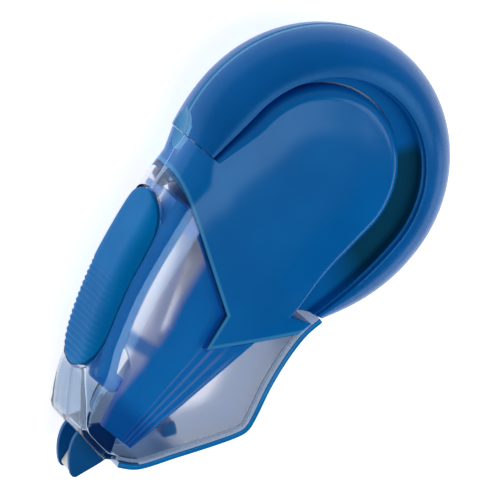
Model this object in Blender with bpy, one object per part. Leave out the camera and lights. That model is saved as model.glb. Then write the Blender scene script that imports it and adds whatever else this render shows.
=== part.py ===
"""Correction tape roller with a drop-in refill cartridge.

The roller lies on its rear side face. +X runs from the tape tip to the round head, +Y to the
spine with the rubber grip, and +Z is the normal of the front side face. The origin is the centre
of the bounding box's bottom. Outlines are drawn in millimetres, with x counted from the tip, and
mesh coordinates are converted to metres in the object's own frame.
"""
import math
from collections import namedtuple

import bmesh
import bpy

MM = 0.001

# Driving dimensions, in millimetres.
LENGTH = 90.0
THICKNESS = 17.0
MID = THICKNESS / 2
SEAM = 0.06            # half of the gap between the front and the rear half
GAP = 0.3              # clearance between neighbouring pieces

HEAD_X = 64.9          # centre of the round head, from the tip
HEAD_R = 25.1
RING_INNER_R = 18.2
RING_WALL = 2.0
RING_LEG = 44.0        # degrees that the ring runs on past its lowest point
RING_CREST = 0.5       # the ring's crest lies this much below the side face
FLOOR_TOP = 13.9       # crescent recess beside the side face
FLOOR_UNDER = 12.9
FACE_X, FACE_Y, FACE_R = 65.0, 2.0, 15.0

WALL = 1.2
SKIN = 1.0
BAND = 1.0

TAPE_WIDTH = 4.2
TAPE_MID = 9.9
AXIS_X, AXIS_Y = 64.7, 0.0
GEAR_MODULE = 0.7
SUPPLY_TEETH, TAKEUP_TEETH = 52, 18
BACKLASH = 0.25
CENTRE_DISTANCE = GEAR_MODULE * (SUPPLY_TEETH + TAKEUP_TEETH) / 2
TAKEUP_ANGLE = math.radians(182.8)
TAKEUP_X = AXIS_X + CENTRE_DISTANCE * math.cos(TAKEUP_ANGLE)
TAKEUP_Y = AXIS_Y + CENTRE_DISTANCE * math.sin(TAKEUP_ANGLE)
ROLL_R, HUB_R = 17.0, 8.0
COIL_R, TAKEUP_HUB_R = 6.2, 5.2
POST_R, BOSS_R = 1.6, 3.0

# Levels of the cartridge's layers, in millimetres above the resting face.
BASE_Z = (4.4, 5.3)
GEAR_Z = (5.55, 6.45)
CLUTCH_Z = (6.65, 6.95)
FLANGE_Z = (7.15, 7.55)
TAPE_Z = (TAPE_MID - TAPE_WIDTH / 2, TAPE_MID + TAPE_WIDTH / 2)
HUB_TOP = 12.4
PLATE_Z = (14.5, 15.6)

PAD_FRONT, PAD_REAR = 14.6, 44.8
PAD_PROUD = 0.4
PAD_THICK = 1.7
SPINE_ROUND = 5.0

# One point of the case outline: place, edge rounding, wall thickness, depth of the band outside it,
# and the inset direction where a butt joint fixes it.
Station = namedtuple("Station", "x y round wall band way")

COLOURS = {
    "ring_blue": ((0.005, 0.10, 0.36), 0.18),
    "clear": ((0.80, 0.84, 0.93), 0.06),
    "band_blue": ((0.01, 0.12, 0.40), 0.25),
    "grip_rubber": ((0.01, 0.14, 0.42), 0.55),
    "cartridge_blue": ((0.005, 0.11, 0.40), 0.30),
    "tip_blue": ((0.003, 0.05, 0.22), 0.35),
    "spool_white": ((0.85, 0.86, 0.88), 0.40),
    "tape_white": ((0.93, 0.93, 0.92), 0.60),
    "clutch_grey": ((0.45, 0.46, 0.48), 0.45),
}


def clean_scene():
    for item in list(bpy.data.objects):
        bpy.data.objects.remove(item, do_unlink=True)


def material(name):
    found = bpy.data.materials.get(name)
    if found:
        return found
    colour, rough = COLOURS[name]
    made = bpy.data.materials.new(name)
    made.use_nodes = True
    shader = made.node_tree.nodes["Principled BSDF"]
    shader.inputs["Base Color"].default_value = (*colour, 1.0)
    shader.inputs["Roughness"].default_value = rough
    shader.inputs["Metallic"].default_value = 0.0
    return made


# ---------------------------------------------------------------- plane geometry

def spline(points, steps):
    """Catmull-Rom curve through the points, without its last point."""
    ends = [points[0]] + list(points) + [points[-1]]
    curve = []
    for i in range(1, len(ends) - 2):
        a, b, c, d = ends[i - 1:i + 3]
        for k in range(steps):
            t = k / steps
            curve.append(tuple(
                0.5 * (2 * b[j] + (c[j] - a[j]) * t + (2 * a[j] - 5 * b[j] + 4 * c[j] - d[j]) * t ** 2
                       + (3 * b[j] - a[j] - 3 * c[j] + d[j]) * t ** 3) for j in range(2)))
    return curve


def arc(cx, cy, radius, start, end, steps):
    """Points from start to end degrees, both included."""
    points = []
    for k in range(steps + 1):
        angle = math.radians(start + (end - start) * k / steps)
        points.append((cx + radius * math.cos(angle), cy + radius * math.sin(angle)))
    return points


def normals(loop, closed=True):
    """Inward miter directions of a counter-clockwise loop."""
    count = len(loop)
    result = []
    for i in range(count):
        before = loop[i - 1] if closed or i else loop[i]
        after = loop[(i + 1) % count] if closed or i < count - 1 else loop[i]
        here = loop[i]
        n = []
        for p, q in ((before, here), (here, after)):
            length = math.hypot(q[0] - p[0], q[1] - p[1])
            if length > 1e-9:
                n.append((-(q[1] - p[1]) / length, (q[0] - p[0]) / length))
        if len(n) == 1:
            result.append(n[0])
            continue
        mx, my = n[0][0] + n[1][0], n[0][1] + n[1][1]
        scale = max(0.35, 0.5 * (mx * mx + my * my))
        result.append((mx / scale, my / scale))
    return result


def offset(loop, distance, closed=True):
    """Move a counter-clockwise loop inwards by a distance."""
    return [(p[0] + n[0] * distance, p[1] + n[1] * distance)
            for p, n in zip(loop, normals(loop, closed))]


# ---------------------------------------------------------------- meshes

def face_outwards(bm):
    bmesh.ops.recalc_face_normals(bm, faces=bm.faces)
    if bm.calc_volume(signed=True) < 0:
        bmesh.ops.reverse_faces(bm, faces=bm.faces)


def to_frame(x, y, z):
    return ((x - LENGTH / 2) * MM, y * MM, z * MM)


def from_rings(rings, local=False):
    """Closed solid through rings of equal length, capped at its first and last ring."""
    bm = bmesh.new()
    place = (lambda x, y, z: (x * MM, y * MM, z * MM)) if local else to_frame
    rows = [[bm.verts.new(place(*p)) for p in ring] for ring in rings]
    count = len(rows[0])
    for lower, upper in zip(rows, rows[1:]):
        for i in range(count):
            j = (i + 1) % count
            bm.faces.new((lower[i], lower[j], upper[j], upper[i]))
    bm.faces.new(list(reversed(rows[0])))
    bm.faces.new(rows[-1])
    face_outwards(bm)
    return bm


def prism(loop, z0, z1, local=False):
    return from_rings([[(x, y, z) for x, y in loop] for z in (z0, z1)], local)


def ring_prism(outer, inner, z0, z1, local=False):
    """Prism with a hole; both loops have the same number of points."""
    bm = bmesh.new()
    place = (lambda x, y, z: (x * MM, y * MM, z * MM)) if local else to_frame
    rows = []
    for loop, z in ((outer, z0), (outer, z1), (inner, z1), (inner, z0)):
        rows.append([bm.verts.new(place(x, y, z)) for x, y in loop])
    count = len(outer)
    for k in range(4):
        a, b = rows[k], rows[(k + 1) % 4]
        for i in range(count):
            j = (i + 1) % count
            bm.faces.new((a[i], a[j], b[j], b[i]))
    face_outwards(bm)
    return bm


def turned(profile, steps, local=True):
    """Turn a closed (radius, z) profile that stays clear of the axis."""
    bm = bmesh.new()
    rows = []
    for k in range(steps):
        angle = 2 * math.pi * k / steps
        c, s = math.cos(angle), math.sin(angle)
        rows.append([bm.verts.new((r * c * MM, r * s * MM, z * MM)) for r, z in profile])
    size = len(profile)
    for k in range(steps):
        a, b = rows[k], rows[(k + 1) % steps]
        for i in range(size):
            j = (i + 1) % size
            bm.faces.new((a[i], b[i], b[j], a[j]))
    face_outwards(bm)
    return bm


def mirror_z(bm):
    """Mirror a half of the case to the other side of the seam plane."""
    for vert in bm.verts:
        vert.co.z = THICKNESS * MM - vert.co.z
    face_outwards(bm)
    return bm


def add_object(name, bm, slot, parent=None, angle=35.0):
    mesh = bpy.data.meshes.new(name)
    bm.to_mesh(mesh)
    bm.free()
    mesh.shade_smooth()
    mesh.set_sharp_from_angle(angle=math.radians(angle))
    obj = bpy.data.objects.new(name, mesh)
    bpy.context.scene.collection.objects.link(obj)
    if slot:
        mesh.materials.append(material(slot))
    obj.parent = parent
    return obj


def add_cutter(name, bm, parent=None):
    obj = add_object(name, bm, None, parent)
    obj.hide_render = True
    obj.display_type = "WIRE"
    return obj


def boolean(obj, cutter, operation="DIFFERENCE"):
    mod = obj.modifiers.new(operation.lower() + "_" + cutter.name, "BOOLEAN")
    mod.operation = operation
    mod.solver = "EXACT"
    mod.object = cutter
    return mod


def bevel(obj, width, segments, angle=40.0):
    mod = obj.modifiers.new("edge", "BEVEL")
    mod.width = width * MM
    mod.segments = segments
    mod.limit_method = "ANGLE"
    mod.angle_limit = math.radians(angle)
    return mod


def add_axis(name, x, y, parent=None):
    """Empty on a vertical joint axis."""
    empty = bpy.data.objects.new(name, None)
    empty.empty_display_size = 0.01
    bpy.context.scene.collection.objects.link(empty)
    empty.location = to_frame(x, y, 0)
    empty.parent = parent
    return empty


def box_loop(x0, y0, x1, y1):
    return [(x0, y0), (x1, y0), (x1, y1), (x0, y1)]


# ---------------------------------------------------------------- case halves

CHIN = [(6.0, -5.1), (8.1, -8.6), (13.5, -12.6), (19.0, -16.6), (22.8, -19.1), (24.9, -19.8),
        (27.6, -19.3), (32.7, -17.8), (38.0, -16.8), (43.0, -16.5), (46.9, -17.2)]
SPINE = [(55.55, 22.5), (51.6, 21.4), (46.2, 20.5), (40.8, 19.5), (35.3, 18.4), (30.0, 17.1),
         (24.5, 15.2), (19.0, 12.8), (13.6, 9.7), (9.8, 6.9), (7.9, 5.4)]
FRONT = [(7.1, 4.7), (6.3, 3.4), (5.9, 0.6), (5.7, -2.2)]
SLANT_FOOT_X = 44.1


def smoothstep(low, high, value):
    t = min(1.0, max(0.0, (value - low) / (high - low)))
    return t * t * (3 - 2 * t)


def face_lower(x):
    """Lower side of the raised side face, between the waist and the head."""
    return FACE_Y - FACE_R + 0.07 * (FACE_X - x)


def face_upper(x):
    """Upper side of the raised side face, beside the spine."""
    return FACE_Y + FACE_R + 0.14 * (FACE_X - x)


def case_stations():
    """The case half's outline, counter-clockwise, from the lower front corner."""
    stations = []
    for x, y in spline(CHIN, 3):
        if x < CHIN[-2][0] + 0.5:
            stations.append(Station(x, y, 0.6, WALL, BAND + GAP, None))
    stations.append(Station(*CHIN[-1], 0.6, WALL, BAND + 1.6 * GAP, (-1.1, 1.0)))
    stations.append(Station(SLANT_FOOT_X, face_lower(SLANT_FOOT_X), 0.6, WALL, 0.0, None))
    for x in (48.5, 53.0, 57.5, 61.5):
        edge = 0.6 + 1.6 * smoothstep(44, 56, x)
        stations.append(Station(x, face_lower(x), edge, WALL, 0.0, None))
    for x, y in arc(FACE_X, FACE_Y, FACE_R, -90, 90, 18):
        stations.append(Station(x, y, 2.2, WALL, 0.0, None))
    for x in (61.0, 58.0):
        stations.append(Station(x, face_upper(x), 2.0, WALL, 0.0, None))
    end_x = SPINE[0][0]
    stations.append(Station(end_x, face_upper(end_x), 0.8, WALL, 0.0, (-1.0, -1.0)))
    stations.append(Station(*SPINE[0], 5.0, 2.0, 0.0, (-1.0, -1.0)))
    for x, y in spline(SPINE, 3)[3:] + [SPINE[-1]]:
        edge = 1.6 + (SPINE_ROUND - 1.6) * smoothstep(8, 17, x) + 1.4 * smoothstep(45, 53, x)
        wall = WALL + 0.9 * smoothstep(46, 52, x)
        stations.append(Station(x, y, edge, wall, 0.0, None))
    for x, y in FRONT:
        stations.append(Station(x, y, 0.8, WALL, 0.0, None))
    return stations


def case_rings(stations, inner):
    """Rings of the case half's outer or inner skin, from the seam to the side face."""
    loop = [(s.x, s.y) for s in stations]
    inward = [s.way or n for s, n in zip(stations, normals(loop))]
    top = THICKNESS - (SKIN if inner else 0.0)
    steps = 3 if inner else 4
    rings = [[] for _ in range(steps + 2)]
    for s, n in zip(stations, inward):
        step = s.wall if inner else 0.0
        depth = s.band + step
        edge = max(0.3, s.round - step) if inner else s.round
        start = MID - 1.0 if inner else MID + SEAM
        nx, ny = n
        x, y = s.x + nx * depth, s.y + ny * depth
        rings[0].append((x, y, start))
        for k in range(steps + 1):
            angle = math.radians(90 * k / steps)
            move = edge * (1 - math.cos(angle))
            along = 0.0 if s.way else nx * move
            rings[k + 1].append((x + along, y + ny * move, top - edge * (1 - math.sin(angle))))
    return rings


def spine_frame(x):
    """Point on the spine and its outward normal, by x."""
    fine = spline(SPINE, 12) + [SPINE[-1]]
    for (x1, y1), (x0, y0) in zip(fine, fine[1:]):
        if x0 <= x <= x1:
            t = (x - x0) / (x1 - x0)
            length = math.hypot(x1 - x0, y1 - y0)
            return x, y0 + t * (y1 - y0), -(y1 - y0) / length, (x1 - x0) / length
    return x, fine[-1][1], 0.0, 1.0


def pad_section(x, spread, lift):
    """Points across the spine at x, over a share of the grip's full width."""
    px, py, nx, ny = spine_frame(x)
    flat = MID - SPINE_ROUND
    radius = SPINE_ROUND + lift
    reach = flat + SPINE_ROUND * math.radians(48)
    points = []
    for k in range(11):
        s = (-1 + 2 * k / 10) * spread * reach
        side = math.copysign(1.0, s)
        if abs(s) <= flat:
            away, z = lift, MID + s
        else:
            angle = (abs(s) - flat) / SPINE_ROUND
            away = radius * math.cos(angle) - SPINE_ROUND
            z = MID + side * (flat + radius * math.sin(angle))
        points.append((px + nx * away, py + ny * away, z))
    return points


def grip_solid(grow, top, bottom, steps):
    """The grip's long oval, wrapped round the spine between two heights over its surface."""
    rings = []
    for k in range(steps + 1):
        t = -1 + 2 * k / steps
        u = math.copysign(1 - (1 - abs(t)) ** 1.6, t)
        spread = max(0.10, (1 - abs(u) ** 5.0) ** 0.5) + grow / 8.0
        x = (PAD_FRONT + PAD_REAR) / 2 + u * ((PAD_REAR - PAD_FRONT) / 2 + grow)
        upper = pad_section(x, spread, top)
        lower = pad_section(x, spread, bottom)
        rings.append(upper + list(reversed(lower)))
    return from_rings(rings)


def head_passage():
    """Round room for the supply roll, below the crescent floor."""
    radius = 19.4
    loop = arc(AXIS_X, AXIS_Y, radius, 0, 354, 59)
    return prism(loop, MID - 1.0, FLOOR_UNDER)


def notch_solid():
    """Shallow round thumb notch across the seam on the spine."""
    bm = bmesh.new()
    bmesh.ops.create_icosphere(bm, subdivisions=3, radius=6.3 * MM)
    centre = to_frame(53.9, 27.9, MID)
    bmesh.ops.translate(bm, verts=bm.verts, vec=centre)
    return bm


def tip_window():
    """Opening in the front wall for the tip and the tape."""
    return prism(box_loop(2.0, -4.4, 9.6, 3.5), 6.3, 13.5)


def add_case(name, slot, parent, rear, cutters):
    stations = case_stations()
    outer = from_rings(case_rings(stations, False))
    inner = from_rings(case_rings(stations, True))
    passage = head_passage()
    if rear:
        outer, inner, passage = mirror_z(outer), mirror_z(inner), mirror_z(passage)
    obj = add_object(name, outer, slot, parent)
    boolean(obj, add_cutter(name + "_cavity", inner))
    boolean(obj, add_cutter(name + "_passage", passage))
    for cutter in cutters:
        boolean(obj, cutter)
    return obj


# ---------------------------------------------------------------- ring halves

def ring_lines():
    """Outer, inner and floor edge of the horseshoe ring, station by station."""
    lines = []
    for k in range(7):
        t = 1 - k / 7
        degree = -90 - RING_LEG * t
        radius = HEAD_R + 0.5 * t
        outer = (HEAD_X + radius * math.cos(math.radians(degree)),
                 radius * math.sin(math.radians(degree)))
        inner_x = HEAD_X - t * 17.9
        inner = (inner_x, -RING_INNER_R + 0.0085 * (HEAD_X - inner_x) ** 2)
        floor_x = FACE_X - t * 20.2
        lines.append((outer, inner, (floor_x, face_lower(floor_x) - GAP)))
    for degree in range(-90, 91, 6):
        c, s = math.cos(math.radians(degree)), math.sin(math.radians(degree))
        lines.append(((HEAD_X + HEAD_R * c, HEAD_R * s),
                      (HEAD_X + RING_INNER_R * c, RING_INNER_R * s),
                      (FACE_X + (FACE_R + GAP) * c, FACE_Y + (FACE_R + GAP) * s)))
    for k in range(1, 5):
        x = HEAD_X - (HEAD_X - SPINE[0][0] - GAP) * k / 4
        outer = (x, math.sqrt(HEAD_R ** 2 - (x - HEAD_X) ** 2))
        inner = (x, RING_INNER_R + 0.10 * (HEAD_X - x))
        lines.append((outer, inner, (x, min(inner[1] - 0.1, face_upper(x) + GAP))))
    return lines


def ring_section(outer, inner, floor):
    """Closed section of the front ring half at one station."""
    width = math.hypot(outer[0] - inner[0], outer[1] - inner[1])
    rx, ry = (outer[0] - inner[0]) / width, (outer[1] - inner[1]) / width
    base = MID + SEAM
    height = THICKNESS - RING_CREST - base
    room = math.hypot(floor[0] - inner[0], floor[1] - inner[1])
    share = min(0.5, 0.6 / room)
    lip = (inner[0] + (floor[0] - inner[0]) * share, inner[1] + (floor[1] - inner[1]) * share)
    section = []
    for k in range(8):
        angle = math.radians(90 * k / 7)
        u = width * math.cos(angle)
        section.append((inner[0] + rx * u, inner[1] + ry * u, base + height * math.sin(angle)))
    section.append((*lip, THICKNESS - RING_CREST - 0.5))
    section.append((*lip, FLOOR_TOP))
    section.append((*floor, FLOOR_TOP))
    section.append((*floor, FLOOR_UNDER))
    section.append((inner[0] + rx * 0.2, inner[1] + ry * 0.2, FLOOR_UNDER))
    reach = max(0.5, width - RING_WALL)
    for degree in (58, 38, 19, 0):
        angle = math.radians(degree)
        u = reach * math.cos(angle)
        z = base + (height - 1.3) * math.sin(angle)
        section.append((inner[0] + rx * u, inner[1] + ry * u, z))
    return section


def add_ring(name, parent, rear, notch):
    bm = from_rings([ring_section(*line) for line in ring_lines()])
    if rear:
        bm = mirror_z(bm)
    obj = add_object(name, bm, "ring_blue", parent, 30.0)
    boolean(obj, notch)
    return obj


# ---------------------------------------------------------------- trim on the case

def add_edge_band(parent):
    """Blue strip that closes the chin edge between the two clear halves."""
    outer = spline(CHIN, 4)
    inner = offset(outer, BAND, closed=False)
    z0, z1 = 0.7, THICKNESS - 0.7
    bm = prism(outer + list(reversed(inner)), z0, z1)
    obj = add_object("edge_band", bm, "band_blue", parent)
    bevel(obj, 0.25, 1, 60)
    return obj


def add_grip(parent):
    bm = grip_solid(0.0, PAD_PROUD, PAD_PROUD - PAD_THICK, 22)
    return add_object("grip_pad", bm, "grip_rubber", parent, 50.0)


def add_rail(parent):
    """Blue carrier under the grip, with the two plugs that hold the grip on it."""
    upper, lower = [], []
    for k in range(15):
        x = PAD_FRONT - 0.4 + (PAD_REAR - PAD_FRONT + 1.6) * k / 14
        px, py, nx, ny = spine_frame(x)
        upper.append((px - nx * 2.45, py - ny * 2.45))
        lower.append((px - nx * 6.6, py - ny * 6.6))
    bm = prism(lower + list(reversed(upper)), 2.6, THICKNESS - 2.6)
    obj = add_object("grip_rail", bm, "band_blue", parent)
    plugs = (("grip_plug_front", PAD_FRONT + 2.2, 6.0), ("grip_plug_rear", PAD_REAR - 1.0, 4.4))
    for name, x, length in plugs:
        px, py, nx, ny = spine_frame(x)
        stub = bmesh.new()
        bmesh.ops.create_cone(stub, cap_ends=True, segments=20, radius1=1.6 * MM, radius2=1.6 * MM,
                              depth=length * MM)
        plug = add_cutter(name, stub)
        bevel(plug, 0.7, 2)
        plug.rotation_euler = (math.radians(90), 0, math.atan2(-nx, ny))
        middle = 3.9 + length / 2
        plug.location = to_frame(px - nx * middle, py - ny * middle, 11.5)
        boolean(obj, plug, "UNION")
    return obj


def add_snap_lug(parent):
    """Lug on the inside of the chin that the front half snaps onto."""
    loop = [(14.6, -9.1), (16.7, -10.6), (18.1, -8.7), (16.0, -7.2)]
    obj = add_object("snap_lug", prism(loop, 1.3, 14.4), "band_blue", parent)
    bevel(obj, 0.4, 2)
    return obj


def add_posts(case):
    """Two locating posts of the rear half, which the cartridge's bosses slip onto."""
    for name, x, y in (("supply_post", AXIS_X, AXIS_Y), ("takeup_post", TAKEUP_X, TAKEUP_Y)):
        loop = arc(x, y, POST_R, 0, 345, 23)
        boolean(case, add_cutter(name, prism(loop, 0.6, 11.6)), "UNION")


# ---------------------------------------------------------------- cartridge

NECK_LOWER = [(10.2, -3.9), (22.0, -6.7), (34.0, -8.9), (40.0, -9.3), (46.0, -9.5)]
NECK_UPPER = [(46.0, 10.4), (42.0, 7.4), (34.0, 4.9), (22.0, 2.7), (10.2, 1.5)]
BASE_R = 17.8


def base_loop(head_x, head_y, radius, steps):
    """Neck outline that runs into a round head, counter-clockwise from the tip's lower side."""
    start = math.degrees(math.atan2(NECK_LOWER[-1][1] - head_y, NECK_LOWER[-1][0] - head_x))
    end = math.degrees(math.atan2(NECK_UPPER[0][1] - head_y, NECK_UPPER[0][0] - head_x))
    head = arc(head_x, head_y, radius, start + 4, end - 4, steps)
    return spline(NECK_LOWER, 2) + head + spline(NECK_UPPER, 2) + [NECK_UPPER[-1]]


def add_cartridge_base(parent):
    obj = add_object("cartridge_base", prism(base_loop(AXIS_X, AXIS_Y, BASE_R, 32), *BASE_Z),
                     "cartridge_blue", parent)
    edge = offset(NECK_LOWER[:3], 0.35, closed=False)
    wall = edge + list(reversed(offset(edge, 1.0, closed=False)))
    boolean(obj, add_cutter("neck_wall", prism(wall, BASE_Z[0] + 0.3, PLATE_Z[0] - GAP)), "UNION")
    for name, x, y in (("supply_boss", AXIS_X, AXIS_Y), ("takeup_boss", TAKEUP_X, TAKEUP_Y)):
        boss = arc(x, y, BOSS_R, 0, 345, 23)
        boolean(obj, add_cutter(name, prism(boss, BASE_Z[0] + 0.3, HUB_TOP + 0.4)), "UNION")
        bore = arc(x, y, POST_R + GAP, 0, 345, 23)
        boolean(obj, add_cutter(name + "_bore", prism(bore, BASE_Z[0] - 1, HUB_TOP + 2)))
    return obj


def add_cartridge_cover(parent):
    """Blue plate close under the clear side face."""
    loop = base_loop(FACE_X, FACE_Y, FACE_R - WALL - GAP - 0.2, 28)
    obj = add_object("cartridge_cover", prism(loop, *PLATE_Z), "cartridge_blue", parent)
    bevel(obj, 0.3, 2)
    return obj


FLANGE = [(9.9, -2.6), (9.9, 1.0), (7.6, 2.7), (6.2, 3.1), (4.6, 2.8), (2.75, 1.85), (1.1, 0.4),
          (0.25, -0.7), (0.0, -1.4), (0.35, -2.0), (1.1, -2.3), (5.2, -3.9), (7.0, -3.9)]
TIP_EDGE = (0.95, -1.2)


def add_tip(parent):
    """Press-on tip: a thin blade between two guide flanges, with a root plugged in the neck."""
    inner = TAPE_WIDTH / 2 + 0.15
    thick = 1.0
    flange = spline(FLANGE + [FLANGE[0]], 2)
    blade = [(9.9, -1.4), (9.9, 0.05), TIP_EDGE, (TIP_EDGE[0], TIP_EDGE[1] - 0.25)]
    obj = add_object("applicator_tip", prism(blade, TAPE_MID - inner - 0.4, TAPE_MID + inner + 0.4),
                     "tip_blue", parent)
    flanges = (("tip_flange_rear", TAPE_MID - inner - thick), ("tip_flange_front", TAPE_MID + inner))
    for name, low in flanges:
        boolean(obj, add_cutter(name, prism(flange, low, low + thick)), "UNION")
    return obj


def add_guide_pins(parent):
    for name, x, y in (("feed_guide_pin", 27.0, 1.6), ("return_guide_pin", 13.0, -0.78)):
        bm = bmesh.new()
        z0, z1 = BASE_Z[1] + GAP, PLATE_Z[0] - GAP
        bmesh.ops.create_cone(bm, cap_ends=True, segments=20, radius1=1.2 * MM, radius2=1.2 * MM,
                              depth=(z1 - z0) * MM)
        obj = add_object(name, bm, "spool_white", parent)
        obj.location = to_frame(x, y, (z0 + z1) / 2)
        bevel(obj, 0.2, 1)


def tangent_point(cx, cy, radius, px, py, side):
    """Point where a line from (px, py) touches a circle; side is +1 or -1."""
    distance = math.hypot(px - cx, py - cy)
    angle = math.atan2(py - cy, px - cx) + side * math.acos(radius / distance)
    return cx + radius * math.cos(angle), cy + radius * math.sin(angle)


def add_tape_run(parent):
    """The ribbon from the full roll over the tip's edge and back to the take-up coil."""
    guide = (27.0, 3.25)
    feed = tangent_point(AXIS_X, AXIS_Y, ROLL_R + 0.4, *guide, -1)
    around = arc(TIP_EDGE[0] + 0.1, TIP_EDGE[1] - 0.12, 0.62, 95, 255, 6)
    back = tangent_point(TAKEUP_X, TAKEUP_Y, COIL_R + 0.4, *around[-1], 1)
    path = [feed, guide, (9.6, 0.55)] + around + [(10.5, -1.9), back]
    half = 0.08
    left = offset(path, half, closed=False)
    right = offset(path, -half, closed=False)
    return add_object("tape_run", prism(left + list(reversed(right)), *TAPE_Z), "tape_white", parent)


# ---------------------------------------------------------------- spools and gears

def gear_loop(teeth, phase):
    """Involute gear outline with a tooth centred on the phase angle, in degrees."""
    pitch_r = GEAR_MODULE * teeth / 2
    base_r = pitch_r * math.cos(math.radians(20))
    root_r = pitch_r - 1.2 * GEAR_MODULE
    tip_r = pitch_r + 0.85 * GEAR_MODULE

    def inv(radius):
        tangent = math.sqrt(max(0.0, (radius / base_r) ** 2 - 1))
        return tangent - math.atan(tangent)

    half_pitch = math.pi / (2 * teeth) - BACKLASH / 2 / pitch_r
    loop = []
    for tooth in range(teeth):
        centre = math.radians(phase) + 2 * math.pi * tooth / teeth
        flank = []
        for radius in (root_r, pitch_r, tip_r):
            flank.append((radius, half_pitch + inv(pitch_r) - inv(radius)))
        for radius, half in flank:
            loop.append((radius, centre - half))
        for radius, half in reversed(flank):
            loop.append((radius, centre + half))
    return [(r * math.cos(a), r * math.sin(a)) for r, a in loop]


def add_gear(name, teeth, phase, bore, axis, slot):
    outer = gear_loop(teeth, phase)
    angles = [math.atan2(y, x) for x, y in outer]
    inner = [(bore * math.cos(a), bore * math.sin(a)) for a in angles]
    return add_object(name, ring_prism(outer, inner, *GEAR_Z, local=True), slot, axis, 25.0)


def add_supply(axis):
    collar, bore = 5.0, BOSS_R + GAP
    spool = [(bore, GEAR_Z[0]), (collar, GEAR_Z[0]), (collar, FLANGE_Z[0]), (ROLL_R + 0.3, FLANGE_Z[0]),
             (ROLL_R + 0.3, FLANGE_Z[1]), (HUB_R - GAP, FLANGE_Z[1]), (HUB_R - GAP, HUB_TOP),
             (HUB_R - 1.5, HUB_TOP), (HUB_R - 1.5, 8.4), (bore + 1.2, 8.4), (bore + 1.2, HUB_TOP),
             (bore, HUB_TOP)]
    add_object("supply_spool", turned(spool, 40), "spool_white", axis)
    roll = [(HUB_R, TAPE_Z[0]), (ROLL_R, TAPE_Z[0]), (ROLL_R, TAPE_Z[1]), (HUB_R, TAPE_Z[1])]
    add_object("tape_roll", turned(roll, 48), "tape_white", axis)
    phase = math.degrees(TAKEUP_ANGLE)
    add_gear("supply_gear", SUPPLY_TEETH, phase, collar + GAP, axis, "spool_white")
    clutch = [(collar + GAP, CLUTCH_Z[0]), (9.0, CLUTCH_Z[0]), (9.0, CLUTCH_Z[1]),
              (collar + GAP, CLUTCH_Z[1])]
    add_object("clutch_ring", turned(clutch, 32), "clutch_grey", axis)


def add_takeup(axis):
    bore, collar = BOSS_R + GAP, 4.2
    spool = [(bore, GEAR_Z[0]), (collar, GEAR_Z[0]), (collar, FLANGE_Z[0] - 0.3),
             (COIL_R + 0.2, FLANGE_Z[0] - 0.3), (COIL_R + 0.2, FLANGE_Z[1] - 0.2),
             (TAKEUP_HUB_R - GAP, FLANGE_Z[1] - 0.2), (TAKEUP_HUB_R - GAP, HUB_TOP), (bore, HUB_TOP)]
    add_object("takeup_spool", turned(spool, 32), "spool_white", axis)
    coil = [(TAKEUP_HUB_R, TAPE_Z[0]), (COIL_R, TAPE_Z[0]), (COIL_R, TAPE_Z[1]), (TAKEUP_HUB_R, TAPE_Z[1])]
    add_object("takeup_coil", turned(coil, 36), "tape_white", axis)
    phase = math.degrees(TAKEUP_ANGLE) + 180 + 180 / TAKEUP_TEETH
    add_gear("takeup_gear", TAKEUP_TEETH, phase, collar + GAP, axis, "spool_white")


def main():
    clean_scene()
    notch = add_cutter("notch_cutter", notch_solid())
    grip_room = add_cutter("grip_room", grip_solid(1.5 * GAP, 2.5, -4.0, 22))
    window = add_cutter("tip_window", tip_window())

    housing = add_axis("housing_frame", LENGTH / 2, 0)
    add_ring("ring_half_rear", None, True, notch)
    case_rear = add_case("case_rear", "clear", None, True, (notch, grip_room, window))
    add_posts(case_rear)
    add_edge_band(None)
    add_grip(None)
    add_rail(None)
    add_snap_lug(None)

    add_ring("ring_half_front", None, False, notch)
    add_case("case_front", "clear", None, False, (notch, grip_room, window))

    add_cartridge_base(None)
    add_cartridge_cover(None)
    add_tip(None)
    add_guide_pins(None)
    add_tape_run(None)

    supply_axis = add_axis("supply_axis", AXIS_X, AXIS_Y, housing)
    add_supply(supply_axis)
    takeup_axis = add_axis("takeup_axis", TAKEUP_X, TAKEUP_Y, housing)
    add_takeup(takeup_axis)


main()
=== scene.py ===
import math
from collections import namedtuple

import bmesh
import bpy
from mathutils import Matrix, Vector


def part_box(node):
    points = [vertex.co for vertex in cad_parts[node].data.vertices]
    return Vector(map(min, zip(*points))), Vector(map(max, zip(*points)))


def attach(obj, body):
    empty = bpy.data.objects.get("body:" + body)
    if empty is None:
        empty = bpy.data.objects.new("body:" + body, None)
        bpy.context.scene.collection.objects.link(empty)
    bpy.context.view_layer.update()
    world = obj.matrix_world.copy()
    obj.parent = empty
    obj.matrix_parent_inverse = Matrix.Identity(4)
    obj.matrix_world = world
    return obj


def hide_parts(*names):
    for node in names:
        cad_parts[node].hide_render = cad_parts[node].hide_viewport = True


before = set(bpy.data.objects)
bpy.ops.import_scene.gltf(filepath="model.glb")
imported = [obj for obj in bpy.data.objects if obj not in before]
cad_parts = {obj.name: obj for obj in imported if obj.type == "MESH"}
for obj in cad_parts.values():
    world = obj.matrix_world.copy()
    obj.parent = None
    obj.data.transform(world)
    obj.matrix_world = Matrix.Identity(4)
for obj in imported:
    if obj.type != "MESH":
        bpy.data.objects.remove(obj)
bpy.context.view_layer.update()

MM = 0.001
TIP_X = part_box("applicator_tip")[0].x
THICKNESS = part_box("case_front")[1].z / MM
MID = THICKNESS / 2

# Distance of either half's seam face from the middle, and the play between neighbouring pieces.
SEAM, GAP = 0.06, 0.3

# Ring: its centre and outer radius, inner radius, the angle its lower leg reaches past the bottom, and
# how far its crest lies below the top. Then the two levels of the recess's floor.
HEAD_X, HEAD_R = 64.9, 25.1
RING_INNER_R, RING_LEG, RING_CREST = 18.2, 44.0, 0.5
FLOOR_TOP, FLOOR_UNDER = 13.9, 12.9

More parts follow.
